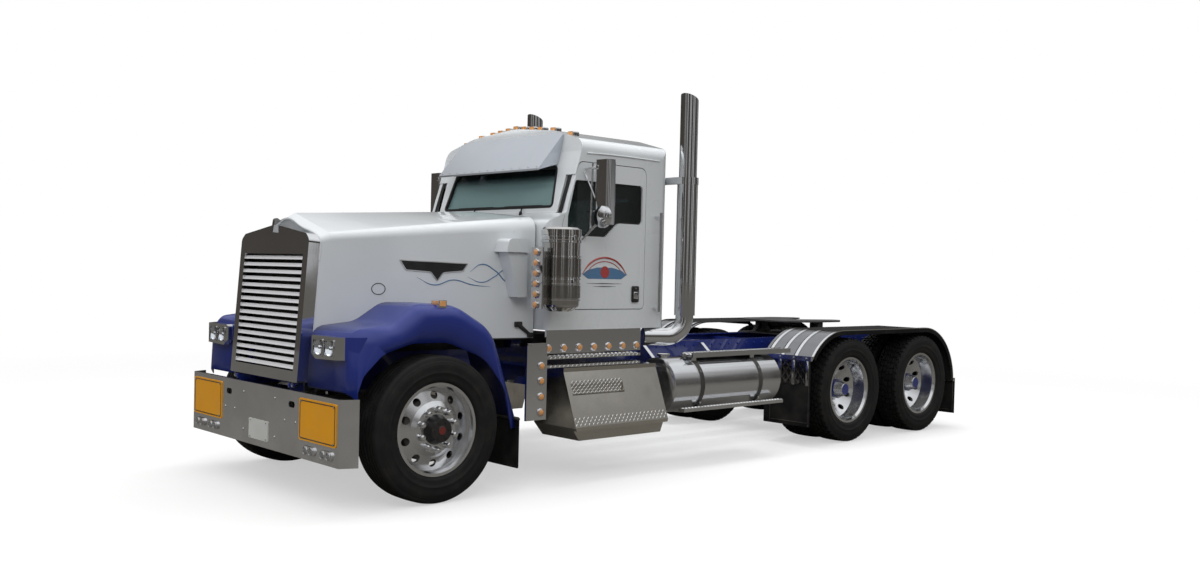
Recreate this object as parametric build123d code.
"""Conventional three-axle road tractor: long hood, day cab, tandem drive axles.

Frame: +X forward, +Y to the vehicle's left, +Z up, millimetres.  The origin
is on the ground under the middle of the overall length and width.  Places
along the vehicle are written as distances behind the bumper's front face and
turned into X by aft().  Everything that exists on both sides is modelled on
the left and mirrored.
"""
from build123d import *
import math
import os

# --- Driving sizes --------------------------------------------------------
TAIL = 7830.0                # rearmost point, behind the bumper's face
FRONT_PROUD = 20.0           # sign boards and lamps, ahead of the bumper's face

TYRE_RADIUS = 525.0
TYRE_WIDTH = 280.0
RIM_RADIUS = 311.0           # bead seat of a 24.5 in wheel
RIM_FLANGE_RADIUS = 324.0
RIM_HALF = 112.0
RIM_FLANGE_WALL = 9.0
FRONT_AXLE = 768.0
DRIVE_AXLE = 5791.0
TANDEM_SPACING = 1331.0
TRACK_HALF = 1065.0          # middle of the outer tyres
DUAL_SPACING = 340.0
AXLE_HEIGHT = TYRE_RADIUS

RUN_GAP = 0.3                # clearance of pieces that seat or run in each other
PANEL_GAP = 6.0              # clearance round doors

RAIL_OUTER = 430.0
RAIL_FLANGE = 90.0
RAIL_DEPTH = 270.0
RAIL_TOP = 1020.0
RAIL_WEB = 9.0
RAIL_START = 120.0
RAIL_END = 7800.0

BUMPER_HALF = 1158.0
BUMPER_TOP = 780.0
BUMPER_BOTTOM = 324.0
BUMPER_WALL = 6.0
BUMPER_WING = 120.0          # depth of the folded-back ends
TOW_HOLE_Y = 500.0
TOW_HOLE_Z = 683.0

SHELL_FACE = 20.0            # grille shell's lower front edge
SHELL_HALF = 530.0
SHELL_BOTTOM = 835.0
SHELL_SHOULDER = 1850.0
SHELL_PEAK = 1960.0
SHELL_DEPTH = 90.0
SHELL_RAKE = 4.2
GRILLE_HALF = 458.0
GRILLE_BAR_PITCH = 51.9
GRILLE_BAR_COUNT = 16
GRILLE_BAR_HEIGHT = 27.0
GRILLE_FIRST_BAR = 938.0

HOOD_REAR = 1930.0
HOOD_WALL = 10.0
HOOD_BOTTOM = 1120.0
FENDER_NOSE = 100.0
FENDER_SIDE = 1150.0
FENDER_WALL = 10.0
FENDER_ROLL = 110.0          # rounding of the outer shoulder
HOOD_PIVOT = 35.0
HOOD_PIVOT_Z = 812.0
HOOD_PIN_RADIUS = 12.0
HOOD_LUG_Y = 446.0            # inner face of the hood's hinge lugs

CAB_FRONT = 1945.0
CAB_REAR = 3320.0
CAB_HALF = 950.0
CAB_FLOOR = 1190.0
CAB_ROOF = 2880.0
CAB_WALL = 60.0

DOOR_FRONT = 2083.0
DOOR_REAR = 3027.0
DOOR_BOTTOM = 1350.0
DOOR_TOP = 2555.0
DOOR_HINGE = 2075.0
DOOR_HINGE_Y = 962.0
DOOR_HINGE_HEIGHTS = (1450.0, 1900.0)
GLASS_THICK = 6.0
GLASS_DEPTH = 20.0           # glass face, in from the cab's skin

GEARBOX_REAR = 2780.0

AIR_CLEANER = 1935.0
AIR_CLEANER_Y = 1115.0

STACK = 3430.0
STACK_Y = 1055.0
STACK_RADIUS = 78.0

KINGPIN_Y = 885.0
STEER_ARM = 170.0            # kingpin to tie rod eye
STEER_ARM_TOP = 464.0
TIE_ROD_PIN_RADIUS = 12.0
KINGPIN_RADIUS = 24.0
SPINDLE_RADIUS = 40.0
AXLE_TUBE_RADIUS = 75.0

FIFTH_WHEEL = 6300.0
FIFTH_WHEEL_TOP = 1180.0
FIFTH_WHEEL_RADIUS = 470.0
FIFTH_WHEEL_PLATE = 14.0
FIFTH_WHEEL_PIN_Z = 1100.0
FIFTH_WHEEL_PIN_RADIUS = 20.0
KINGPIN_LOCK_RADIUS = 25.6

TANK_FRONT = 3200.0
TANK_REAR = 4620.0
TANK_Y = 960.0
TANK_Z = 690.0
TANK_RADIUS = 240.0

FENDER_RADIUS = 612.0
FENDER_ARC_Z = 508.0
FENDER_FRONT_ARC = DRIVE_AXLE - 160.0
FENDER_REAR_ARC = DRIVE_AXLE + TANDEM_SPACING + 45.0
FENDER_START = 54.0          # degrees from upright down to the fender's front edge
FENDER_END = 88.0
FENDER_OUTER = 1205.0
FENDER_INNER = 600.0
FENDER_SHEET = 6.0

NOSE_X = (TAIL + FRONT_PROUD) / 2 - FRONT_PROUD
OUT = "parts"


# --- Helpers ---------------------------------------------------------------
def aft(distance):
    """X of a place this far behind the bumper's front face."""
    return NOSE_X - distance


def outline(corners, place):
    """Closed face through corners (u, v) or (u, v, radius); place(u, v) gives the 3-D point."""
    count = len(corners)
    runs = []
    for index, corner in enumerate(corners):
        u, v = corner[0], corner[1]
        radius = corner[2] if len(corner) > 2 else 0.0
        if radius == 0.0:
            runs.append([(u, v)])
            continue
        before = corners[index - 1]
        after = corners[(index + 1) % count]
        to_before = (before[0] - u, before[1] - v)
        to_after = (after[0] - u, after[1] - v)
        len_before = math.hypot(*to_before)
        len_after = math.hypot(*to_after)
        unit_before = (to_before[0] / len_before, to_before[1] / len_before)
        unit_after = (to_after[0] / len_after, to_after[1] / len_after)
        dot = unit_before[0] * unit_after[0] + unit_before[1] * unit_after[1]
        half = math.acos(max(-1.0, min(1.0, dot))) / 2
        trim = radius / math.tan(half)
        bisector = (unit_before[0] + unit_after[0], unit_before[1] + unit_after[1])
        length = math.hypot(*bisector)
        reach = radius / math.sin(half) - radius
        middle = (u + bisector[0] / length * reach, v + bisector[1] / length * reach)
        start = (u + unit_before[0] * trim, v + unit_before[1] * trim)
        end = (u + unit_after[0] * trim, v + unit_after[1] * trim)
        runs.append([start, middle, end])
    edges = []
    for index, run in enumerate(runs):
        if len(run) == 3:
            edges.append(Edge.make_three_point_arc(*[place(*point) for point in run]))
        start = place(*run[-1])
        end = place(*runs[(index + 1) % count][0])
        if (start - end).length > 1e-3:
            edges.append(Edge.make_line(start, end))
    return Face(Wire(edges))


def prism_y(corners, low, high):
    """Side outline (distance behind the bumper, z) carried from y=low to y=high."""
    face = outline(corners, lambda u, v: Vector(aft(u), low, v))
    return Solid.extrude(face, Vector(0, high - low, 0))


def prism_x(corners, front, rear):
    """Front outline (y, z) carried from a front to a rear distance behind the bumper."""
    face = outline(corners, lambda u, v: Vector(aft(rear), u, v))
    return Solid.extrude(face, Vector(rear - front, 0, 0))


def prism_z(corners, low, high):
    """Plan outline (distance behind the bumper, y) carried from z=low to z=high."""
    face = outline(corners, lambda u, v: Vector(aft(u), v, low))
    return Solid.extrude(face, Vector(0, 0, high - low))


def block(front, rear, y_low, y_high, z_low, z_high):
    """Square-edged block between two distances behind the bumper."""
    return prism_y([(front, z_low), (rear, z_low), (rear, z_high), (front, z_high)], y_low, y_high)


def rod(start, end, radius):
    """Round bar between two points given as (distance behind the bumper, y, z)."""
    a = Vector(aft(start[0]), start[1], start[2])
    b = Vector(aft(end[0]), end[1], end[2])
    return Solid.make_cylinder(radius, (b - a).length, Plane(origin=a, z_dir=b - a))


def wheel_turn(profile, distance, z=AXLE_HEIGHT):
    """Profile (y, radius) turned about the axle line at this distance."""
    face = outline(profile, lambda u, v: Vector(aft(distance), u, z + v))
    return Solid.revolve(face, 360.0, Axis((aft(distance), 0, z), (0, 1, 0)))


def upright_turn(profile, distance, y):
    """Profile (radius, z) turned about an upright line."""
    face = outline(profile, lambda u, v: Vector(aft(distance) + u, y, v))
    return Solid.revolve(face, 360.0, Axis((aft(distance), y, 0), (0, 0, 1)))


def join(*shapes):
    """One shape from overlapping or touching solids."""
    result = shapes[0]
    for shape in shapes[1:]:
        result = result + shape
    return result


def flip(shape):
    """The right-hand twin of a left-hand shape."""
    return mirror(shape, about=Plane.XZ)


def pair(*shapes):
    """Left-hand shapes with their right-hand twins."""
    return list(shapes) + [flip(shape) for shape in shapes]


NODES = {}


def node(name, *shapes):
    """Keep the solids of a piece under its name."""
    solids = []
    for shape in shapes:
        solids.extend(shape.solids())
    NODES[name] = Compound(children=solids)


# --- Frame and running gear --------------------------------------------------
def frame_rails():
    inner = RAIL_OUTER - RAIL_FLANGE
    bottom = RAIL_TOP - RAIL_DEPTH
    channel = [(RAIL_OUTER, bottom), (RAIL_OUTER, RAIL_TOP), (inner, RAIL_TOP),
               (inner, RAIL_TOP - RAIL_WEB), (RAIL_OUTER - RAIL_WEB, RAIL_TOP - RAIL_WEB),
               (RAIL_OUTER - RAIL_WEB, bottom + RAIL_WEB), (inner, bottom + RAIL_WEB), (inner, bottom)]
    rail = prism_x(channel, RAIL_START, RAIL_END)
    lug = prism_y([(RAIL_START + 60, bottom + 10), (RAIL_START + 60, 860), (RAIL_START + 5, 860),
                   (RAIL_START - 5, HOOD_PIVOT_Z + 16), (HOOD_PIVOT - 18, HOOD_PIVOT_Z + 16, 15),
                   (HOOD_PIVOT - 18, HOOD_PIVOT_Z - 16, 15), (HOOD_PIVOT + 40, bottom + 10)],
                  RAIL_OUTER - RAIL_WEB - 17, RAIL_OUTER - RAIL_WEB)
    pin = rod((HOOD_PIVOT, RAIL_OUTER - 22, HOOD_PIVOT_Z), (HOOD_PIVOT, HOOD_LUG_Y + 24, HOOD_PIVOT_Z), HOOD_PIN_RADIUS)
    members = []
    web = RAIL_OUTER - RAIL_WEB
    # front, rear, low z, high z
    crossmembers = [(180, 225, 790, 980), (2800, 2850, 965, 1010), (3700, 3760, 900, 1000), (4700, 4760, 800, 990),
                    (5440, 5500, 800, 990), (6396, 6516, 780, 990), (7740, 7800, 770, 1000)]
    for front, rear, low, high in crossmembers:
        members.append(block(front, rear, -web, web, low, high))
    mounts = []
    for front in (2000, 3140):
        mounts += pair(block(front, front + 100, inner + 10, RAIL_OUTER, RAIL_TOP, CAB_FLOOR))
    frame = join(rail, lug, pin, flip(rail), flip(lug), flip(pin), *members, *mounts)
    node("frame_rails", frame)


def front_bumper():
    wall = BUMPER_WALL
    bend = BUMPER_HALF
    tip = BUMPER_HALF + BUMPER_WING * 0.42
    plate = prism_z([(0, -bend, 20), (BUMPER_WING, -tip), (BUMPER_WING, -tip + wall), (wall, -bend + 2, 14),
                     (wall, bend - 2, 14), (BUMPER_WING, tip - wall), (BUMPER_WING, tip), (0, bend, 20)],
                    BUMPER_BOTTOM, BUMPER_TOP)
    lip_top = prism_z([(wall, -bend + 10), (28, -bend + 10), (28, bend - 10), (wall, bend - 10)],
                      BUMPER_TOP - wall, BUMPER_TOP)
    lip_bottom = lip_top.moved(Location((0, 0, BUMPER_BOTTOM + wall - BUMPER_TOP)))
    hole = prism_x([(TOW_HOLE_Y - 45, TOW_HOLE_Z - 22, 20), (TOW_HOLE_Y + 45, TOW_HOLE_Z - 22, 20),
                    (TOW_HOLE_Y + 45, TOW_HOLE_Z + 22, 20), (TOW_HOLE_Y - 45, TOW_HOLE_Z + 22, 20)], -10, wall + 10)
    bracket = prism_y([(wall, 560), (60, 560), (300, 760), (300, 930), (RAIL_START + 10, 930),
                       (RAIL_START + 10, 765), (wall, 765)], RAIL_OUTER, RAIL_OUTER + 12)
    body = join(plate, lip_top, lip_bottom, bracket, flip(bracket)) - hole - flip(hole)
    node("front_bumper", body)


def bumper_fittings():
    board = prism_x([(620, 455, 14), (1125, 455, 14), (1125, 745, 14), (620, 745, 14)], -6, 0)
    plate = prism_x([(-152, 372, 8), (152, 372, 8), (152, 520, 8), (-152, 520, 8)], -4, 0)
    node("sign_boards", *pair(board), plate)
    lamps = []
    for y in (765, 1000):
        lamps.append(prism_x([(y - 85, 362, 27), (y + 85, 362, 27), (y + 85, 422, 27), (y - 85, 422, 27)],
                             -FRONT_PROUD, 0))
    node("bumper_lamps", *pair(*lamps))


def front_axle():
    seat = 450.0
    half = 460.0
    section = 45.0
    beam = prism_x([(-half, 440), (half, 440), (half, 520), (-half, 520)], FRONT_AXLE - section, FRONT_AXLE + section)
    arm = prism_x([(seat - 20, 440), (KINGPIN_Y - 20, 475), (KINGPIN_Y - 20, 575), (seat + 20, 520), (seat - 20, 520)],
                  FRONT_AXLE - section, FRONT_AXLE + section)
    boss = rod((FRONT_AXLE, KINGPIN_Y, AXLE_HEIGHT - 55), (FRONT_AXLE, KINGPIN_Y, AXLE_HEIGHT + 55), 50)
    bore = rod((FRONT_AXLE, KINGPIN_Y, AXLE_HEIGHT - 99), (FRONT_AXLE, KINGPIN_Y, AXLE_HEIGHT + 99),
               KINGPIN_RADIUS + RUN_GAP)
    side = join(arm, boss) - bore
    node("front_axle", join(beam, side, flip(side)))
    leaves = []
    leaf_height = 14.0
    # half length of each leaf, from the top down
    for index, half_length in enumerate((620, 620, 520, 400, 280)):
        z = 600 - index * leaf_height
        leaves.append(block(FRONT_AXLE - half_length, FRONT_AXLE + half_length, 385, 465, z, z + leaf_height))
    pad = block(FRONT_AXLE - 80, FRONT_AXLE + 80, 385, 465, 520, 545)
    front_hanger = prism_y([(FRONT_AXLE - 620, 600), (FRONT_AXLE - 560, 600), (FRONT_AXLE - 500, 750),
                            (FRONT_AXLE - 620, 750)], 400, 429)
    rear_hanger = prism_y([(FRONT_AXLE + 560, 614), (FRONT_AXLE + 620, 614), (FRONT_AXLE + 660, 750),
                           (FRONT_AXLE + 520, 750)], 400, 429)
    spring = join(*leaves, pad, front_hanger, rear_hanger)
    node("front_springs", *pair(spring))


def drive_axles():
    shapes = []
    spindle_end = TRACK_HALF + 40
    for distance in (DRIVE_AXLE, DRIVE_AXLE + TANDEM_SPACING):
        tube = rod((distance, -545, AXLE_HEIGHT), (distance, 545, AXLE_HEIGHT), AXLE_TUBE_RADIUS)
        spindle = rod((distance, -spindle_end, AXLE_HEIGHT), (distance, spindle_end, AXLE_HEIGHT), 55)
        banjo = Solid.make_sphere(215).moved(Location((aft(distance), 0, AXLE_HEIGHT)))
        nose = rod((distance, 0, AXLE_HEIGHT + 30), (distance - 330, 0, AXLE_HEIGHT + 90), 95)
        drum = wheel_turn([(500, 0), (535, 0), (535, 215, 20), (500, 215, 20)], distance)
        shapes.append(join(tube, spindle, banjo, nose, drum, flip(drum)))
    node("drive_axles", *shapes)
    shaft = rod((GEARBOX_REAR - 20, 0, 900), (DRIVE_AXLE - 300, 0, AXLE_HEIGHT + 84), 50)
    link = rod((DRIVE_AXLE + 150, 0, AXLE_HEIGHT + 40), (DRIVE_AXLE + TANDEM_SPACING - 300, 0, AXLE_HEIGHT + 84), 45)
    behind_gearbox = block(GEARBOX_REAR - 100, GEARBOX_REAR, -300, 300, 700, 1100)
    node("driveshaft", shaft - behind_gearbox - shapes[0], link - shapes[0] - shapes[1])
    rail_bottom = RAIL_TOP - RAIL_DEPTH
    shapes = []
    arm_top = AXLE_HEIGHT - AXLE_TUBE_RADIUS - RUN_GAP
    for distance in (DRIVE_AXLE, DRIVE_AXLE + TANDEM_SPACING):
        hanger = prism_y([(distance - 440, 480), (distance - 350, 480), (distance - 300, rail_bottom),
                          (distance - 500, rail_bottom)], 360, 425)
        arm = prism_y([(distance - 440, 570), (distance - 440, 500), (distance - 100, 395), (distance + 350, 395),
                       (distance + 350, arm_top), (distance - 60, arm_top), (distance - 350, 570)], 345, 440)
        bag = Solid.make_cylinder(110, rail_bottom - arm_top).moved(Location((aft(distance + 245), 370, arm_top)))
        shapes.append(join(hanger, arm, bag))
    node("rear_suspension", *pair(*shapes))


def power_train():
    web = RAIL_OUTER - RAIL_WEB
    engine = block(480, 1840, -320, 320, 760, 1740)
    gearbox = block(1840, GEARBOX_REAR, -240, 240, 760, 1110)
    feet = [block(front, front + 120, -web, web, 800, 870) for front in (620, 1640)]
    node("engine_block", join(engine, gearbox, *feet))
    core = block(230, 320, -420, 420, RAIL_TOP, 1790)
    node("radiator", core)


def knuckle():
    """Left steering knuckle: fork and kingpin, spindle outwards, steering arm straight back."""
    top = AXLE_HEIGHT + 56
    low = AXLE_HEIGHT - 56

    def post(radius, z_low, z_high):
        return rod((FRONT_AXLE, KINGPIN_Y, z_low), (FRONT_AXLE, KINGPIN_Y, z_high), radius)

    pin = post(KINGPIN_RADIUS, low - 44, top + 44)
    web = block(FRONT_AXLE - 46, FRONT_AXLE + 46, KINGPIN_Y + 56, KINGPIN_Y + 76, low - 40, top + 40)
    top_arm = block(FRONT_AXLE - 40, FRONT_AXLE + 40, KINGPIN_Y, KINGPIN_Y + 60, top, top + 40)
    low_arm = block(FRONT_AXLE - 40, FRONT_AXLE + 40, KINGPIN_Y, KINGPIN_Y + 60, low - 40, low)
    spindle = rod((FRONT_AXLE, KINGPIN_Y + 70, AXLE_HEIGHT), (FRONT_AXLE, TRACK_HALF + 60, AXLE_HEIGHT), SPINDLE_RADIUS)
    eye = FRONT_AXLE + STEER_ARM
    arm = join(block(FRONT_AXLE, eye, KINGPIN_Y - 18, KINGPIN_Y + 18, STEER_ARM_TOP - 24, STEER_ARM_TOP),
               rod((eye, KINGPIN_Y, STEER_ARM_TOP - 24), (eye, KINGPIN_Y, STEER_ARM_TOP), 24),
               rod((eye, KINGPIN_Y, STEER_ARM_TOP - 66), (eye, KINGPIN_Y, STEER_ARM_TOP), TIE_ROD_PIN_RADIUS))
    return join(pin, post(46, top, top + 44), post(46, low - 44, low), web, top_arm, low_arm, spindle, arm)


def tie_rod():
    """Bar between the two steering arms, an eye on each arm's pin."""
    eye = FRONT_AXLE + STEER_ARM
    top = STEER_ARM_TOP - 24 - RUN_GAP
    boss = rod((eye, KINGPIN_Y, top - 36), (eye, KINGPIN_Y, top), 24)
    hole = rod((eye, KINGPIN_Y, top - 60), (eye, KINGPIN_Y, top + 20), TIE_ROD_PIN_RADIUS + RUN_GAP)
    bar = rod((eye, -KINGPIN_Y + 18, top - 18), (eye, KINGPIN_Y - 18, top - 18), 17)
    node("tie_rod", join(bar, boss, flip(boss)) - hole - flip(hole))


# --- Wheels --------------------------------------------------------------------
def tyre(distance, middle):
    half = TYRE_WIDTH / 2
    bead = RIM_HALF - RIM_FLANGE_WALL - RUN_GAP
    lip = RIM_FLANGE_RADIUS + 12
    profile = [(middle - bead, RIM_RADIUS + RUN_GAP), (middle - bead, lip), (middle - half + 8, lip + 22, 30),
               (middle - half, 430, 300), (middle - half + 10, TYRE_RADIUS - 20, 20), (middle - half + 30, TYRE_RADIUS),
               (middle + half - 30, TYRE_RADIUS), (middle + half - 10, TYRE_RADIUS - 20, 20), (middle + half, 430, 300),
               (middle + half - 8, lip + 22, 30), (middle + bead, lip), (middle + bead, RIM_RADIUS + RUN_GAP)]
    return wheel_turn(profile, distance)


def rim(distance, middle):
    half = RIM_HALF
    wall = RIM_FLANGE_WALL
    inner = RIM_RADIUS - 14
    profile = [(middle - half, RIM_FLANGE_RADIUS - 14), (middle - half, RIM_FLANGE_RADIUS + 8),
               (middle - half + wall, RIM_FLANGE_RADIUS + 8), (middle - half + wall, RIM_RADIUS),
               (middle + half - wall, RIM_RADIUS), (middle + half - wall, RIM_FLANGE_RADIUS + 8),
               (middle + half, RIM_FLANGE_RADIUS + 8), (middle + half, RIM_FLANGE_RADIUS - 14),
               (middle + half - 25, inner), (middle - half + 25, inner)]
    return wheel_turn(profile, distance)


def ring_of(shape, count, distance):
    """Copies of a shape spaced evenly round the axle line."""
    axis = Axis((aft(distance), 0, AXLE_HEIGHT), (0, 1, 0))
    return [shape.rotate(axis, 360.0 / count * index) for index in range(count)]


def front_wheel(distance):
    face = TRACK_HALF + 95
    disc = wheel_turn([(face - 22, 60), (face, 60), (face, 165), (face - 22, 200), (face - 60, RIM_RADIUS - 8),
                       (face - 84, RIM_RADIUS - 8), (face - 46, 196), (face - 22, 160)], distance)
    hole = rod((distance, face - 140, AXLE_HEIGHT + 242), (distance, face + 40, AXLE_HEIGHT + 242), 29)
    disc = disc - Compound(children=ring_of(hole, 10, distance))
    nut = rod((distance, face - 4, AXLE_HEIGHT + 143), (distance, face + 46, AXLE_HEIGHT + 143), 19)
    hub = wheel_turn([(KINGPIN_Y + 90, SPINDLE_RADIUS + RUN_GAP), (KINGPIN_Y + 90, 110), (face - 22, 110),
                      (face, 105), (face + 70, 80, 10), (face + 70, 0), (TRACK_HALF + 62, 0),
                      (TRACK_HALF + 62, SPINDLE_RADIUS + RUN_GAP)], distance)
    return join(rim(distance, TRACK_HALF), disc, hub, *ring_of(nut, 10, distance))


def drive_wheel(distance):
    outer = TRACK_HALF
    inner = TRACK_HALF - DUAL_SPACING
    face = outer - 170
    disc = wheel_turn([(face - 22, 60), (face, 60), (face, 165), (face + 50, 215), (face + 130, RIM_RADIUS - 8),
                       (face + 104, RIM_RADIUS - 8), (face + 26, 222), (face - 22, 172)], distance)
    inner_disc = wheel_turn([(face - 44, 60), (face - 22, 60), (face - 22, 172), (face - 90, 222),
                             (face - 170, RIM_RADIUS - 8), (face - 196, RIM_RADIUS - 8), (face - 112, 215),
                             (face - 44, 165)], distance)
    hole = rod((distance, face - 300, AXLE_HEIGHT + 250), (distance, face + 200, AXLE_HEIGHT + 250), 26)
    holes = Compound(children=ring_of(hole, 10, distance))
    nut = rod((distance, face - 4, AXLE_HEIGHT + 143), (distance, face + 40, AXLE_HEIGHT + 143), 17)
    hub = wheel_turn([(560, 55 + RUN_GAP), (560, 120), (face, 120), (face + 10, 105), (face + 150, 95, 10),
                      (outer + 62, 60, 8), (outer + 62, 0), (outer + 42, 0), (outer + 42, 55 + RUN_GAP)], distance)
    return join(rim(distance, outer), rim(distance, inner), disc - holes, inner_disc - holes, hub,
                *ring_of(nut, 10, distance))


def wheels():
    """Every knuckle, tyre and wheel: made once on the left, then mirrored and moved back an axle."""
    steer_parts = {"knuckle": knuckle(), "front_tyre": tyre(FRONT_AXLE, TRACK_HALF),
                   "front_wheel": front_wheel(FRONT_AXLE)}
    drive_tyres = [tyre(DRIVE_AXLE, TRACK_HALF), tyre(DRIVE_AXLE, TRACK_HALF - DUAL_SPACING)]
    drive_rims = drive_wheel(DRIVE_AXLE)
    for side, turn in (("left", lambda shape: shape), ("right", flip)):
        for name, shape in steer_parts.items():
            node("%s_%s" % (name, side), turn(shape))
        for place, shift in (("forward", 0.0), ("rearward", TANDEM_SPACING)):
            back = Location((-shift, 0, 0))
            node("drive_tyres_%s_%s" % (place, side), *[turn(shape.moved(back)) for shape in drive_tyres])
            node("drive_wheels_%s_%s" % (place, side), turn(drive_rims.moved(back)))


# --- Hood ----------------------------------------------------------------------
def raked(shape):
    """Lean an upright shape back with the grille's face."""
    axis = Axis((aft(SHELL_FACE), 0, SHELL_BOTTOM), (0, 1, 0))
    return shape.rotate(axis, -SHELL_RAKE)


def grille_shell():
    outer = [(-SHELL_HALF, SHELL_BOTTOM, 12), (SHELL_HALF, SHELL_BOTTOM, 12), (SHELL_HALF, SHELL_SHOULDER, 50),
             (SHELL_HALF - 50, SHELL_SHOULDER + 42, 40), (0, SHELL_PEAK), (-SHELL_HALF + 50, SHELL_SHOULDER + 42, 40),
             (-SHELL_HALF, SHELL_SHOULDER, 50)]
    body = prism_x(outer, SHELL_FACE, SHELL_FACE + SHELL_DEPTH)
    low = GRILLE_FIRST_BAR - GRILLE_BAR_HEIGHT / 2 - 12
    high = GRILLE_FIRST_BAR + (GRILLE_BAR_COUNT - 1) * GRILLE_BAR_PITCH + GRILLE_BAR_HEIGHT / 2 + 12
    mouth = prism_x([(-GRILLE_HALF, low, 8), (GRILLE_HALF, low, 8), (GRILLE_HALF, high, 8), (-GRILLE_HALF, high, 8)],
                    SHELL_FACE - 20, SHELL_FACE + SHELL_DEPTH + 20)
    back = prism_x([(-SHELL_HALF + 14, low - 60), (SHELL_HALF - 14, low - 60), (SHELL_HALF - 14, SHELL_SHOULDER - 10),
                    (0, SHELL_PEAK - 30), (-SHELL_HALF + 14, SHELL_SHOULDER - 10)], SHELL_FACE + 30,
                   SHELL_FACE + SHELL_DEPTH + 20)
    shell = raked(body - mouth - back)
    lug = prism_y([(SHELL_FACE + 12, SHELL_BOTTOM + 30), (SHELL_FACE + 80, SHELL_BOTTOM + 30),
                   (HOOD_PIVOT + 20, HOOD_PIVOT_Z - 20, 19), (HOOD_PIVOT - 20, HOOD_PIVOT_Z - 20, 19)],
                  HOOD_LUG_Y, HOOD_LUG_Y + 20)
    hole = rod((HOOD_PIVOT, HOOD_LUG_Y - 30, HOOD_PIVOT_Z), (HOOD_PIVOT, HOOD_LUG_Y + 50, HOOD_PIVOT_Z),
               HOOD_PIN_RADIUS + RUN_GAP)
    finial = raked(prism_y([(SHELL_FACE - 22, SHELL_PEAK - 60), (SHELL_FACE + 36, SHELL_PEAK - 60),
                            (SHELL_FACE + 36, SHELL_PEAK + 30, 14), (SHELL_FACE - 12, SHELL_PEAK + 58, 18)], -16, 16))
    lug = lug - hole
    node("grille_shell", join(shell, lug, flip(lug), finial))
    bars = []
    for index in range(GRILLE_BAR_COUNT):
        z = GRILLE_FIRST_BAR + index * GRILLE_BAR_PITCH
        bars.append(raked(prism_y([(SHELL_FACE + 2, z - GRILLE_BAR_HEIGHT / 2), (SHELL_FACE + 30, z - GRILLE_BAR_HEIGHT / 2),
                                   (SHELL_FACE + 30, z + GRILLE_BAR_HEIGHT / 2 - 6),
                                   (SHELL_FACE + 22, z + GRILLE_BAR_HEIGHT / 2)],
                                  -GRILLE_HALF + RUN_GAP, GRILLE_HALF - RUN_GAP)))
    node("grille_bars", *bars)


def hood_section(distance, half, bottom, shoulder, round_off, ridge):
    """Upright hood section: a roof falling from its ridge to rounded shoulders and flat sides."""
    return outline([(-half, bottom), (half, bottom), (half, shoulder, round_off), (0, ridge),
                    (-half, shoulder, round_off)], lambda u, v: Vector(aft(distance), u, v)).outer_wire()


def hood_rows(inset, bottom):
    """Sections of the hood: distance, half width, bottom, shoulder, rounding, ridge."""
    front = SHELL_FACE + SHELL_DEPTH
    return [(front - 60, 505 - inset, bottom, 1820 - inset, 45, 1930 - inset),
            (260, 545 - inset, bottom, 1890 - inset, 60, 2050 - inset),
            (HOOD_REAR, 800 - inset, bottom, 2085 - inset, 110, 2148 - inset)]


def hood_shell():
    front = SHELL_FACE + SHELL_DEPTH
    skin = Solid.make_loft([hood_section(*row) for row in hood_rows(0, HOOD_BOTTOM)], ruled=True)
    cavity = Solid.make_loft([hood_section(*row) for row in hood_rows(HOOD_WALL, HOOD_BOTTOM - 100)], ruled=True)
    nose_cut = raked(block(-400, front + RUN_GAP, -900, 900, 600, 2500))
    node("hood_shell", skin - cavity - nose_cut)


def fender_crown(inset, bottom_drop=0.0):
    """Side outline of the fender: low nose, crown over the wheel, tail; drawn in by a wall thickness."""
    return [(FENDER_NOSE + inset, 815 - bottom_drop), (FENDER_NOSE + 18 + inset, 1228 - inset, 125 - inset),
            (440, 1268 - inset, 200 + inset), (640, 1405 - inset, 180), (960, 1405 - inset, 420),
            (1300 - inset, 1215 - inset, 330), (1565 - inset, 475 - bottom_drop),
            (FENDER_NOSE + inset + 300, 475 - bottom_drop)]


def fender_solid(inset, bottom_drop=0.0):
    """Crown outline carried outwards, its outer edge rolled over and the nose's corner planed off."""
    y_out = FENDER_SIDE - inset
    body = prism_y(fender_crown(inset, bottom_drop), 480.0, y_out)
    edges = []
    for edge in body.edges():
        middle = edge.position_at(0.5)
        if abs(middle.Y - y_out) < 0.01 and (middle.Z > 700 and middle.X > aft(1700)):
            if not (middle.X > aft(FENDER_NOSE + 400) and middle.Z < 800):
                edges.append(edge)
    lean = Vector(0.518, 0.794, 0.318)
    start = Vector(aft(170), 1045, 1225) - lean * inset
    plane = Solid.make_cylinder(600, 600, Plane(origin=start, z_dir=lean))
    return body.fillet(FENDER_ROLL - inset, edges) - plane


def beside_hood():
    """Everything on the hood's side of the joint between hood and fender."""
    plan = [(distance, half + RUN_GAP) for distance, half in ((260, 545.5), (HOOD_REAR, 800.5))]
    return prism_z([(-50, 0), (-50, SHELL_HALF + RUN_GAP), (183, SHELL_HALF + RUN_GAP), *plan, (HOOD_REAR, 0)],
                   200, 1700)


def front_fender():
    """Left fender: a shell under one sweeping crown, its side cut by the wheel opening."""
    arch = prism_y([(150, 300), (150, 815, 60), (185, 930, 100), (330, 1068, 200), (560, 1136, 260), (860, 1136, 300),
                    (1190, 1010, 350), (1400, 760, 350), (1450, 470), (1455, 300)], FENDER_SIDE - 100, FENDER_SIDE + 60)
    return fender_solid(0) - fender_solid(FENDER_WALL, 100) - arch - beside_hood()


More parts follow.
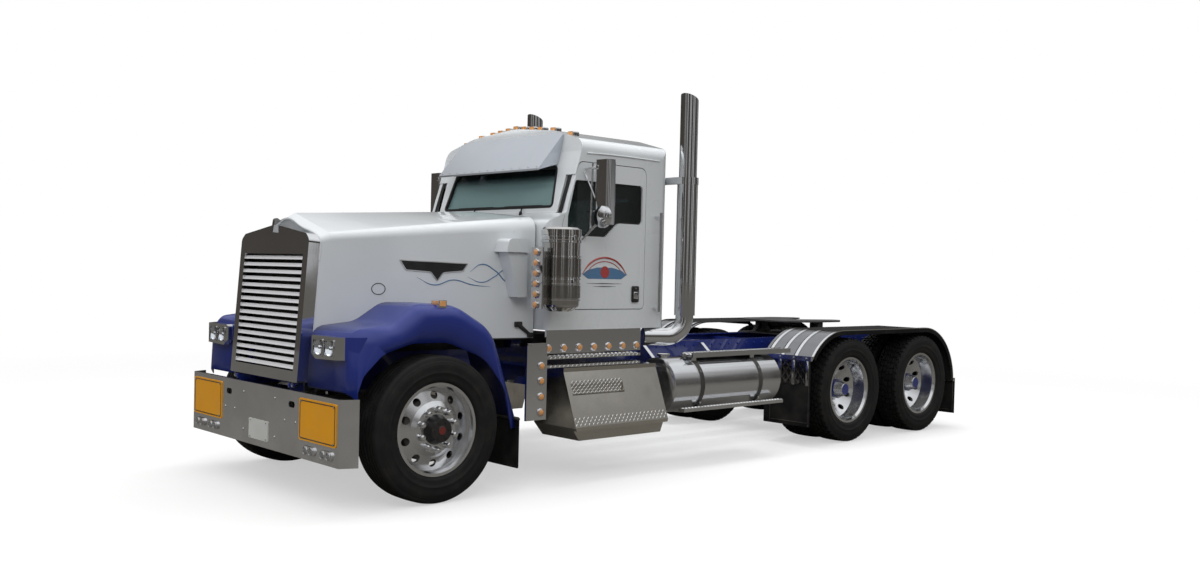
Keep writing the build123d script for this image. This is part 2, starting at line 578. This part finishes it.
def headlamp_pod():
    """Twin-lamp housing seated on the fender's nose, its outer end folded back."""
    face = 50.0
    plan = prism_z([(face, 665, 12), (face, 1010, 25), (face + 120, 1105), (400, 1105), (400, 665)], 1000, 1200)
    front = prism_x([(665, 1060, 8), (730, 1020, 8), (1105, 1030), (1105, 1182), (665, 1182, 20)], 0, 420)
    windows = [block(face - 10, face + 14, y - 68, y + 68, 1042, 1162) for y in (766, 916)]
    return (plan & front) - windows[0] - windows[1] - fender_solid(-RUN_GAP) - beside_hood()


def hood():
    grille_shell()
    hood_shell()
    node("front_fenders", *pair(front_fender()))
    node("headlamps", *pair(headlamp_pod()))
    lamp = block(800, 870, 1015, 1110, 1290, 1434)
    node("turn_lamps", *pair(lamp - fender_solid(-RUN_GAP)))
    funnel = prism_y([(1600, 1800), (1790, 1800), (1790, 1450), (1700, 1450)], 700, 880)
    cap = prism_y([(1565, 1800), (1800, 1800), (1800, 1905, 30), (1590, 1905, 40)], 700, 905)
    beside = Solid.make_loft([hood_section(*row) for row in hood_rows(-RUN_GAP, HOOD_BOTTOM)], ruled=True)
    node("intake_ducts", *pair(join(funnel, cap) - beside))


# --- Cab -----------------------------------------------------------------------
def cab_volume(inset):
    """The cab's outer form, or the space inside its walls when inset."""
    half = CAB_HALF - inset
    top = CAB_ROOF - inset
    eave = 2750 - inset
    length = prism_y([(CAB_FRONT + inset, CAB_FLOOR + inset), (CAB_FRONT + inset, 2060 - inset, 60),
                      (2125 + inset, 2135 - inset, 30), (2270 + inset, 2640, 60), (2320 + inset, 2930, 120),
                      (CAB_REAR - 20 - inset, 2930, 160), (CAB_REAR - inset, 2500),
                      (CAB_REAR - inset, CAB_FLOOR + inset)], -half - 50, half + 50)
    across = prism_x([(-half, CAB_FLOOR + inset), (half, CAB_FLOOR + inset), (half, eave - 20, 110),
                      (half * 0.6, eave + 85, 500), (0, top + 10, 900), (-half * 0.6, eave + 85, 500),
                      (-half, eave - 20, 110)], CAB_FRONT - 50, CAB_REAR + 50)
    plan = prism_z([(CAB_FRONT + inset, -half, 50), (CAB_REAR - inset, -half, 110), (CAB_REAR - inset, half, 110),
                    (CAB_FRONT + inset, half, 50)], CAB_FLOOR - 50, 3000)
    return length & across & plan


def door_outline(gap):
    """Door edge line, drawn in by the gap."""
    return [(DOOR_FRONT + gap, DOOR_BOTTOM + gap, 40), (DOOR_REAR - gap, DOOR_BOTTOM + gap, 40),
            (DOOR_REAR - gap, DOOR_TOP - gap, 70), (2250 + gap, DOOR_TOP - gap, 60), (DOOR_FRONT + gap, 2045, 60)]


def window_outline(gap):
    return [(2140 + gap, 1950 + gap, 30), (2560 - gap, 1950 + gap, 60), (2700 - gap, 2070 + gap, 60),
            (2985 - gap, 2070 + gap, 40), (2985 - gap, 2400 - gap, 40), (2215 + gap, 2400 - gap, 30),
            (2140 + gap, 2100, 40)]


def mirror_set():
    """Door mirror: two arms with an upright between them, a flat mirror's housing and a round convex one."""
    middle = 1157.0
    upper_arm = rod((2320, CAB_HALF, 2500), (2345, middle, 2500), 11)
    lower_arm = rod((2300, CAB_HALF, 1925), (2345, middle, 2110), 11)
    upright = rod((2316, 1025, 1992), (2329, 1025, 2545), 9)
    housing = prism_z([(2300, middle - 84, 32), (2385, middle - 84, 14), (2385, middle + 84, 14),
                       (2300, middle + 84, 32)], 2040, 2560)
    dome = rod((2282, middle + 40, 2100), (2306, middle + 40, 2100), 88)
    door_side = block(2200, 2400, CAB_HALF - 100, CAB_HALF, 1850, 2600)
    return join(upper_arm, lower_arm, upright, housing, dome) - door_side


def cab():
    outer = cab_volume(0)
    inner = cab_volume(CAB_WALL)
    door_hole = prism_y(door_outline(0), CAB_HALF - CAB_WALL - 60, CAB_HALF + 60)
    windshield_hole = prism_x([(-760, 2175, 40), (760, 2175, 40), (700, 2520, 60), (-700, 2520, 60)], 2060, 2330)
    rear_hole = prism_x([(-480, 1950, 60), (480, 1950, 60), (480, 2350, 60), (-480, 2350, 60)], CAB_REAR - 100,
                        CAB_REAR + 20)
    barrel = Solid.make_cylinder(9, 20).moved(Location((aft(DOOR_HINGE), DOOR_HINGE_Y, 0)))
    barrel = join(barrel, block(DOOR_HINGE - 40, DOOR_HINGE, CAB_HALF, CAB_HALF + 7, 0, 20))
    hinges = []
    for z in DOOR_HINGE_HEIGHTS:
        hinges += pair(barrel.moved(Location((0, 0, z - 20 - RUN_GAP))), barrel.moved(Location((0, 0, z + 50 + RUN_GAP))))
    shell = outer - inner - door_hole - flip(door_hole) - windshield_hole - rear_hole
    node("cab_shell", join(shell, *hinges))
    skin = cab_volume(GLASS_DEPTH)
    behind = cab_volume(GLASS_DEPTH + GLASS_THICK)
    pane = (skin - behind) & prism_x([(-760 + RUN_GAP, 2175 + RUN_GAP, 40), (760 - RUN_GAP, 2175 + RUN_GAP, 40),
                                      (700 - RUN_GAP, 2520 - RUN_GAP, 60), (-700 + RUN_GAP, 2520 - RUN_GAP, 60)], 2060, 2330)
    back = prism_x([(-480 + RUN_GAP, 1950 + RUN_GAP, 60), (480 - RUN_GAP, 1950 + RUN_GAP, 60),
                    (480 - RUN_GAP, 2350 - RUN_GAP, 60), (-480 + RUN_GAP, 2350 - RUN_GAP, 60)],
                   CAB_REAR - GLASS_DEPTH - GLASS_THICK, CAB_REAR - GLASS_DEPTH)
    node("cab_windows", pane, back)
    door_slab = prism_y(door_outline(PANEL_GAP), CAB_HALF - CAB_WALL, CAB_HALF + 20) & outer
    window = prism_y(window_outline(0), CAB_HALF - CAB_WALL - 20, CAB_HALF + 20)
    handle = block(2880, 2945, CAB_HALF - 5, CAB_HALF + 12, 1420, 1540)
    hinge_leaf = join(block(DOOR_FRONT + 12, DOOR_FRONT + 70, CAB_HALF, CAB_HALF + 7, 0, 50),
                      block(DOOR_HINGE, DOOR_FRONT + 14, CAB_HALF + 1, CAB_HALF + 7, 0, 50),
                      Solid.make_cylinder(9, 50).moved(Location((aft(DOOR_HINGE), DOOR_HINGE_Y, 0))))
    door = join(door_slab - window, handle, *[hinge_leaf.moved(Location((0, 0, z))) for z in DOOR_HINGE_HEIGHTS])
    glass = prism_y(window_outline(RUN_GAP), CAB_HALF - GLASS_DEPTH - GLASS_THICK, CAB_HALF - GLASS_DEPTH)
    for side, turn in (("left", lambda shape: shape), ("right", flip)):
        node("door_" + side, turn(door))
        node("door_glass_" + side, turn(glass))
        node("mirror_" + side, turn(mirror_set()))


def roof_line(y):
    """Height of the cab's roof at this distance from its middle."""
    crown = 570.0
    side = abs(y)
    if side < crown:
        return CAB_ROOF + 6 - side * 0.0965
    return CAB_ROOF - 49 - (side - crown) * 0.276


def sun_visor():
    """Visor from over the windshield up to the roof's front edge, with a gusset at each end."""
    half = 700.0
    lower = (2025.0, 2485.0)
    upper = (2310.0, 2824.0)
    plate = prism_y([lower, (lower[0] + 8, lower[1] - 4), (upper[0] + 8, upper[1] - 4), upper], -half, half)
    lip = prism_y([(lower[0] - 4, lower[1] - 10), (lower[0] + 8, lower[1] - 10), (lower[0] + 12, lower[1] + 6),
                   (lower[0] + 1, lower[1] + 6)], -half, half)
    gusset = prism_y([(lower[0] + 6, lower[1] - 4), (2300, 2560), (2300, 2814)], half - 6, half)
    shape = join(plate, lip, gusset, flip(gusset))
    under_roof = prism_x([(-half - 10, 2300), (half + 10, 2300), (half + 10, roof_line(half + 10) - 4),
                          (570, roof_line(569) - 4), (0, roof_line(0) - 4), (-570, roof_line(569) - 4),
                          (-half - 10, roof_line(half + 10) - 4)], 1900, 2400)
    node("sun_visor", (shape & under_roof) - cab_volume(-RUN_GAP))


def cab_fittings():
    sun_visor()
    dash = prism_y([(2010, 1700), (2300, 1700), (2330, 1850), (2180, 2060), (2010, 2060)], -880, 880)
    node("dashboard", dash & cab_volume(CAB_WALL + RUN_GAP))
    ring = Solid.make_torus(225, 14, Plane(origin=(aft(2480), 450, 1890), z_dir=(-0.75, 0, 0.66)))
    column = rod((2330, 450, 1760), (2480, 450, 1890), 22)
    spoke = Solid.make_cylinder(224, 10, Plane(origin=(aft(2480), 450, 1885), z_dir=(-0.75, 0, 0.66)))
    node("steering_wheel", join(ring, column, spoke))
    cushion = prism_y([(2650, 1250), (3100, 1250), (3100, 1640), (2620, 1640)], 220, 720)
    back = prism_y([(3010, 1640.3), (3120, 1640.3), (3230, 2300, 40), (3120, 2300, 40)], 220, 720)
    node("seats", *pair(join(cushion, back)))


# --- Cab side equipment ----------------------------------------------------------
def air_cleaner():
    """Upright canister with banded skirt and lid, its feet on the cab's side, a lamp strip ahead."""
    can = upright_turn([(0, 1350), (95, 1350), (140, 1385, 15), (150, 1400), (150, 1520), (156, 1522), (156, 1534),
                        (150, 1536), (150, 1618), (156, 1620), (156, 1632), (150, 1634), (150, 1880), (157, 1882),
                        (157, 1900), (151, 1904), (151, 1935), (157, 1938), (157, 1985, 8), (140, 2000, 6), (0, 2000)],
                       AIR_CLEANER, AIR_CLEANER_Y)
    feet = [block(2000, 2030, CAB_HALF, 1020, low, low + 50) for low in (1460, 1820)]
    plate = block(1692, 1704, 1050, 1180, 1370, 1840)
    web = block(1704, AIR_CLEANER - 140, 1100, 1130, 1400, 1810)
    return join(can, plate, web, *feet)


def fuel_tank():
    """Round tank with two straps, a bracket from the rail under each and a tread step above."""
    tank = rod((TANK_FRONT, TANK_Y, TANK_Z), (TANK_REAR, TANK_Y, TANK_Z), TANK_RADIUS)
    shapes = [tank]
    for distance in (TANK_FRONT + 300, TANK_REAR - 320):
        strap = rod((distance, TANK_Y, TANK_Z), (distance + 60, TANK_Y, TANK_Z), TANK_RADIUS + 5)
        bracket = prism_x([(RAIL_OUTER, 760), (RAIL_OUTER, 1000), (RAIL_OUTER + 40, 1000), (TANK_Y - TANK_RADIUS + 30, 760),
                           (TANK_Y, TANK_Z - TANK_RADIUS - 20), (TANK_Y - 120, TANK_Z - TANK_RADIUS - 20)],
                          distance + 10, distance + 50)
        shapes += [strap, bracket]
    step = block(TANK_FRONT + 40, TANK_REAR - 20, 1190, 1255, 482, 512)
    arms = [block(distance, distance + 60, TANK_Y + 90, 1200, 486, 506) for distance in (TANK_FRONT + 300, TANK_REAR - 320)]
    return join(*shapes, step, *arms)


def walkway():
    """Tread step on the tank's shoulder: two edge bars and a tread between, on posts to the straps."""
    tread = block(3480, 4870, 985, 1105, 948, 954)
    bars = [block(3480, 4870, y, y + 18, 930, 972) for y in (985, 1105)]
    posts = [block(distance, distance + 60, 1000, 1090, 900, 950) for distance in (TANK_FRONT + 300, TANK_REAR - 320)]
    around = rod((TANK_FRONT, TANK_Y, TANK_Z), (TANK_REAR, TANK_Y, TANK_Z), TANK_RADIUS + 5 + RUN_GAP)
    return join(tread, *bars, *posts) - around


def step_box():
    """Battery box under the door: slanted polished face over a tread, with a pocket for the upper step."""
    side = [(2045, 895), (2045, 430), (2140, 320), (3060, 320), (3090, 430), (3090, 895)]
    across = prism_x([(700, 895), (1050, 895), (1050, 862), (1210, 440), (1210, 412), (1160, 405), (1150, 322),
                      (700, 322)], 2000, 3100)
    pocket = prism_x([(1085, 680), (1085, 800), (1200, 800), (1200, 680)], 2090, 2660)
    rear_face = prism_y(side, 690, 1220)
    bracket = block(2400, 2700, RAIL_OUTER, 705, 780, 860)
    return join((rear_face & across) - pocket, bracket)


def side_equipment():
    node("air_cleaners", *pair(air_cleaner()))
    low = 1111.0
    path = FilletPolyline((aft(STACK), STACK_Y, 3230), (aft(STACK), STACK_Y, low), (aft(STACK - 330), STACK_Y - 180, low),
                          radius=170)
    pipe = sweep(Plane(origin=(aft(STACK), STACK_Y, 3230), z_dir=(0, 0, -1)) * Circle(STACK_RADIUS), path=path)
    pipe = pipe.solids()[0]
    guard = rod((STACK, STACK_Y, 1300), (STACK, STACK_Y, 2440), STACK_RADIUS + 12)
    clamp = rod((STACK, STACK_Y, 2440), (STACK, STACK_Y, 2500), STACK_RADIUS + 16)
    foot = block(CAB_REAR, CAB_REAR + 40, 760, 1090, 2440, 2500)
    link = block(CAB_REAR, STACK, 1020, 1090, 2440, 2500)
    tip = prism_y([(STACK - 100, 3240), (STACK + 100, 3150), (STACK + 100, 3300), (STACK - 100, 3300)],
                  STACK_Y - 100, STACK_Y + 100)
    node("exhaust_stacks", *pair(join(pipe, guard, clamp, foot, link) - tip))
    node("fuel_tanks", *pair(fuel_tank()))
    node("step_boxes", *pair(step_box()))
    skirt = block(1945, 3000, 930, 948, 1090, CAB_FLOOR)
    strip = block(1760, 3000, 930, 948, 1002, 1090)
    panel = block(1630, 1830, 1080, 1100, 510, 1090)
    inward = block(1630, 1640, RAIL_OUTER, 1080, 790, 850)
    ledges = [block(1850, 2900, RAIL_OUTER, 1050, z, z + 22) for z in (968, 900)]
    node("rocker_panels", *pair(join(skirt, strip, *ledges), join(panel, inward)))
    lamps = []
    for index in range(8):
        lamps.append(rod((1800 + 164 * index, 948 + RUN_GAP, 1046), (1800 + 164 * index, 965, 1046), 25))
    for z in (927, 811, 690, 569):
        lamps.append(rod((1770, 1100 + RUN_GAP, z), (1770, 1116, z), 24))
    for z in (1800, 1720, 1640, 1560, 1480, 1400):
        lamps.append(rod((1692 - RUN_GAP, AIR_CLEANER_Y, z), (1674, AIR_CLEANER_Y, z), 24))
    cab_form = cab_volume(-RUN_GAP)
    for y in (110, 220, 330, 500, 725):
        lamps.append(block(2335, 2415, y - 24, y + 24, roof_line(y) - 60, roof_line(y) + 30) - cab_form)
    middle = block(2335, 2415, -24, 24, CAB_ROOF - 60, CAB_ROOF + 36) - cab_form
    node("marker_lamps", *pair(*lamps), middle)
    node("deck_plates", *pair(walkway()))


def fender_path(inner, outer):
    """Band over the tandem: an arc at each end joined by a straight run, at this radius range."""

    def point(centre, radius, angle):
        return Vector(aft(centre + radius * math.sin(math.radians(angle))), 0,
                      FENDER_ARC_Z + radius * math.cos(math.radians(angle)))

    def arc(centre, radius, first, last):
        return Edge.make_three_point_arc(point(centre, radius, first), point(centre, radius, (first + last) / 2),
                                         point(centre, radius, last))

    front = FENDER_FRONT_ARC
    rear = FENDER_REAR_ARC
    edges = [arc(front, outer, -FENDER_START, 0),
             Edge.make_line(point(front, outer, 0), point(rear, outer, 0)),
             arc(rear, outer, 0, FENDER_END),
             Edge.make_line(point(rear, outer, FENDER_END), point(rear, inner, FENDER_END)),
             arc(rear, inner, FENDER_END, 0),
             Edge.make_line(point(rear, inner, 0), point(front, inner, 0)),
             arc(front, inner, 0, -FENDER_START),
             Edge.make_line(point(front, inner, -FENDER_START), point(front, outer, -FENDER_START))]
    return Face(Wire(edges))


def fender_band(inner, outer, y_low, y_high):
    """The band over the tandem, carried from y_low to y_high."""
    face = fender_path(inner, outer)
    return Solid.extrude(face, Vector(0, y_high - y_low, 0)).moved(Location((0, y_low, 0)))


def rear_end():
    skin = FENDER_RADIUS + FENDER_SHEET
    top = fender_band(FENDER_RADIUS, skin, FENDER_INNER, FENDER_OUTER)
    lip = fender_band(FENDER_RADIUS - 35, skin, FENDER_OUTER - FENDER_SHEET, FENDER_OUTER)
    middle = DRIVE_AXLE + TANDEM_SPACING / 2
    stay = join(block(middle - 60, middle + 60, RAIL_OUTER, RAIL_OUTER + 12, 880, 1010),
                rod((middle, RAIL_OUTER + 12, 960), (middle, 700, 1100), 20),
                rod((middle, 690, 1103), (middle, FENDER_OUTER - 10, 1103), 20))
    node("rear_fenders", *pair(join(top, lip, stay)))
    seat = skin + RUN_GAP
    front_round = rod((FENDER_FRONT_ARC, 500, FENDER_ARC_Z), (FENDER_FRONT_ARC, 1300, FENDER_ARC_Z), seat)
    rear_round = rod((FENDER_REAR_ARC, 500, FENDER_ARC_Z), (FENDER_REAR_ARC, 1300, FENDER_ARC_Z), seat)
    bar_front = FENDER_FRONT_ARC - 545
    bar_low = 842.0
    bar = block(bar_front, bar_front + 80, FENDER_INNER, FENDER_OUTER, bar_low, 888) - front_round
    edge = fender_band(seat, seat + 8, FENDER_OUTER - 24, FENDER_OUTER)
    above_bar = block(5000, 8000, 500, 1300, 888, 1300)
    edge = edge & join(above_bar, block(6000, 8000, 500, 1300, 500, 1300))
    ribs = []
    for y in (650, 815, 980):
        rib = fender_band(seat, seat + 10, y, y + 34)
        ribs.append(rib & block(5000, FENDER_FRONT_ARC - 60, 500, 1300, 888, 1300))
    hanger = block(FENDER_REAR_ARC + 600, TAIL - 10 - RUN_GAP, 700, FENDER_OUTER, 515, 550) - rear_round
    node("fender_trim", *pair(join(bar, edge, *ribs), hanger))
    rear_flap = block(TAIL - 10, TAIL, 700, FENDER_OUTER, 150, 550)
    front_flap = block(bar_front + 6, bar_front + 16, 640, FENDER_OUTER - 10, 200, bar_low)
    node("mud_flaps", *pair(rear_flap, front_flap))
    lamps = []
    for y in (250, 330):
        lamps.append(rod((RAIL_END + RUN_GAP, y, 900), (TAIL - 5, y, 900), 50))
    node("tail_lamps", *pair(*lamps))


def grab_bars():
    bar = join(rod((3150, CAB_HALF, 1360), (3150, CAB_HALF + 60, 1360), 12),
               rod((3150, CAB_HALF, 2150), (3150, CAB_HALF + 60, 2150), 12),
               rod((3150, CAB_HALF + 60, 1330), (3150, CAB_HALF + 60, 2180), 14))
    node("grab_bars", *pair(bar))


def fifth_wheel():
    y_bracket = 380.0
    bracket = prism_y([(FIFTH_WHEEL - 140, RAIL_TOP + 12), (FIFTH_WHEEL + 140, RAIL_TOP + 12),
                       (FIFTH_WHEEL + 40, FIFTH_WHEEL_PIN_Z + 36, 30), (FIFTH_WHEEL - 40, FIFTH_WHEEL_PIN_Z + 36, 30)],
                      y_bracket - 25, y_bracket + 25)
    hole = rod((FIFTH_WHEEL, y_bracket - 60, FIFTH_WHEEL_PIN_Z), (FIFTH_WHEEL, y_bracket + 60, FIFTH_WHEEL_PIN_Z),
               FIFTH_WHEEL_PIN_RADIUS + RUN_GAP)
    bracket = bracket - hole
    base = block(FIFTH_WHEEL - 330, FIFTH_WHEEL + 330, -RAIL_OUTER, RAIL_OUTER, RAIL_TOP, RAIL_TOP + 12)
    node("fifth_wheel_base", join(base, bracket, flip(bracket)))
    low = FIFTH_WHEEL_TOP - FIFTH_WHEEL_PLATE
    plate = prism_z([(FIFTH_WHEEL - 470, -300, 200), (FIFTH_WHEEL - 470, 300, 200), (FIFTH_WHEEL - 200, 480, 100),
                     (FIFTH_WHEEL + 300, 480, 60), (FIFTH_WHEEL + 520, 330, 40), (FIFTH_WHEEL + 520, 230, 20),
                     (FIFTH_WHEEL + 60, 40, 20), (FIFTH_WHEEL + 60, -40, 20), (FIFTH_WHEEL + 520, -230, 20),
                     (FIFTH_WHEEL + 520, -330, 40), (FIFTH_WHEEL + 300, -480, 60), (FIFTH_WHEEL - 200, -480, 100)],
                    low, FIFTH_WHEEL_TOP)
    lock = prism_z([(FIFTH_WHEEL - 90, -110), (FIFTH_WHEEL + 90, -110), (FIFTH_WHEEL + 90, 110), (FIFTH_WHEEL - 90, 110)],
                   low - 50, low)
    bore = Solid.make_cylinder(KINGPIN_LOCK_RADIUS, 200).moved(Location((aft(FIFTH_WHEEL), 0, low - 100)))
    ear = block(FIFTH_WHEEL - 45, FIFTH_WHEEL + 45, y_bracket + 31, y_bracket + 55, FIFTH_WHEEL_PIN_Z - 30, low)
    ear_in = block(FIFTH_WHEEL - 45, FIFTH_WHEEL + 45, y_bracket - 55, y_bracket - 31, FIFTH_WHEEL_PIN_Z - 30, low)
    pin = rod((FIFTH_WHEEL, y_bracket - 50, FIFTH_WHEEL_PIN_Z), (FIFTH_WHEEL, y_bracket + 50, FIFTH_WHEEL_PIN_Z),
              FIFTH_WHEEL_PIN_RADIUS)
    node("fifth_wheel", join(plate, lock, ear, ear_in, pin, flip(ear), flip(ear_in), flip(pin)) - bore)


def build():
    frame_rails()
    front_bumper()
    bumper_fittings()
    front_axle()
    drive_axles()
    power_train()
    tie_rod()
    wheels()
    hood()
    cab()
    cab_fittings()
    side_equipment()
    rear_end()
    grab_bars()
    fifth_wheel()
    os.makedirs(OUT, exist_ok=True)
    for name, shape in NODES.items():
        export_step(shape, "%s/%s.step" % (OUT, name))


build()
